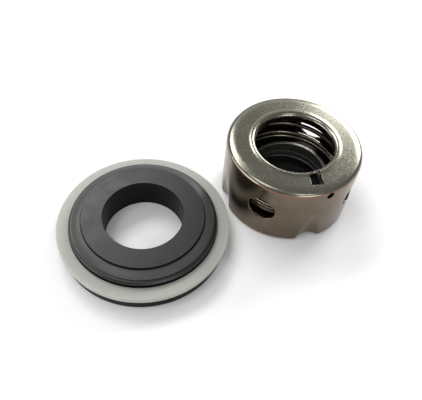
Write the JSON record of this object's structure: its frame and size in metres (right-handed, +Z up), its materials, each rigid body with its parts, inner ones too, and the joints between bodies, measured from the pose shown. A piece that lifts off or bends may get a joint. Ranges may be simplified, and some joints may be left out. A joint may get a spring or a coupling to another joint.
{
  "type": "mechanical seal set",
  "caption": "Rotary shaft seal in two halves lying side by side: a flanged stationary seat ring and a pressed-can head with a coil spring and a sliding face ring.",
  "frame": {"origin": "middle of the set's footprint, on the surface that both halves stand on", "axes": "+X from the seat's axis to the head's axis, +Z up along both axes, Y across"},
  "size_m": [0.141, 0.076, 0.0336],
  "materials": {
    "stainless_can": "satin",
    "spring_steel": "satin",
    "turned_steel": "satin",
    "carbon": "satin",
    "seat_carbide": "satin",
    "white_plastic": "satin",
    "black_rubber": "satin"
  },
  "bodies": {
    "housing": {"shell": "stainless_can", "spring": "spring_steel", "seat_ring": "seat_carbide", "seat_gasket": "white_plastic", "seat_o_ring": "black_rubber"},
    "face_assembly": {"face_ring": "carbon", "shaft_o_ring": "black_rubber", "thrust_ring": "turned_steel"}
  },
  "joints": [
    {"name": "face_slide", "type": "slide", "parent": "housing", "child": "face_assembly", "axis": [0, 0, 1], "range_m": [0, 0.0025], "stiffness_N_per_m": 800, "springref_m": -0.0025, "deforming": ["spring"]}
  ]
}
